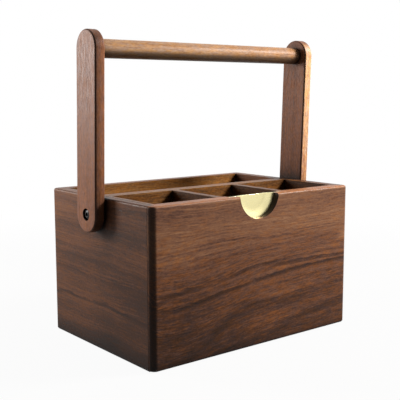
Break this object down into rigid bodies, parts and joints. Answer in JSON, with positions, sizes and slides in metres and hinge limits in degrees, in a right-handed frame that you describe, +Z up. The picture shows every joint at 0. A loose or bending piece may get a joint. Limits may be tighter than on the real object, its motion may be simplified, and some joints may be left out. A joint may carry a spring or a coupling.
{
  "type": "utensil caddy with drawer",
  "caption": "Open walnut utensil caddy with a bolted swing handle, a long rear bay and a front drawer tray split into cells, opened by a brass-backed half-moon notch.",
  "frame": {"origin": "middle of the box's underside, on the surface that it stands on", "axes": "+Z up, +Y from the drawer front to the back, +X to the right as seen from the drawer front"},
  "size_m": [0.252, 0.1616, 0.2749],
  "materials": {
    "walnut_box": "oiled, satin",
    "walnut_drawer": "oiled, satin",
    "walnut_handle": "oiled, satin",
    "beech": "waxed",
    "brass_plate": "satin",
    "black_steel": "black oxide",
    "zinc_steel": "bright zinc",
    "black_nylon": "matt"
  },
  "bodies": {
    "caddy": {"left_side": "walnut_box", "right_side": "walnut_box", "back_panel": "walnut_box", "base_panel": "walnut_box", "centre_partition": "walnut_box", "corner_dowels": "beech", "base_screws": "zinc_steel", "drawer_runner_left": "beech", "drawer_runner_right": "beech", "drawer_guide_rail": "beech", "rail_screws": "zinc_steel", "drawer_stop_pins": "brass_plate", "left_pivot_bolt": "black_steel", "right_pivot_bolt": "black_steel", "left_head_washer": "black_steel", "right_head_washer": "black_steel", "left_spacer": "black_nylon", "right_spacer": "black_nylon", "left_pivot_insert": "brass_plate", "right_pivot_insert": "brass_plate"},
    "drawer": {"drawer_front": "walnut_drawer", "drawer_left_side": "walnut_drawer", "drawer_right_side": "walnut_drawer", "drawer_back": "walnut_drawer", "drawer_bottom": "walnut_drawer", "drawer_divider_left": "walnut_drawer", "drawer_divider_right": "walnut_drawer", "drawer_panel_pins": "brass_plate", "drawer_stop_blocks": "beech", "pull_plate": "brass_plate", "pull_plate_screws": "brass_plate"},
    "handle": {"left_arm": "walnut_handle", "right_arm": "walnut_handle", "grip_bar": "walnut_handle"}
  },
  "joints": [
    {"name": "handle_swing", "type": "hinge", "parent": "caddy", "child": "handle", "pos_m": [0, 0, 0.1205], "axis": [-1, 0, 0], "range_deg": [-87, 140]},
    {"name": "drawer_slide", "type": "slide", "parent": "caddy", "child": "drawer", "axis": [0, -1, 0], "range_m": [0, 0.047]}
  ]
}
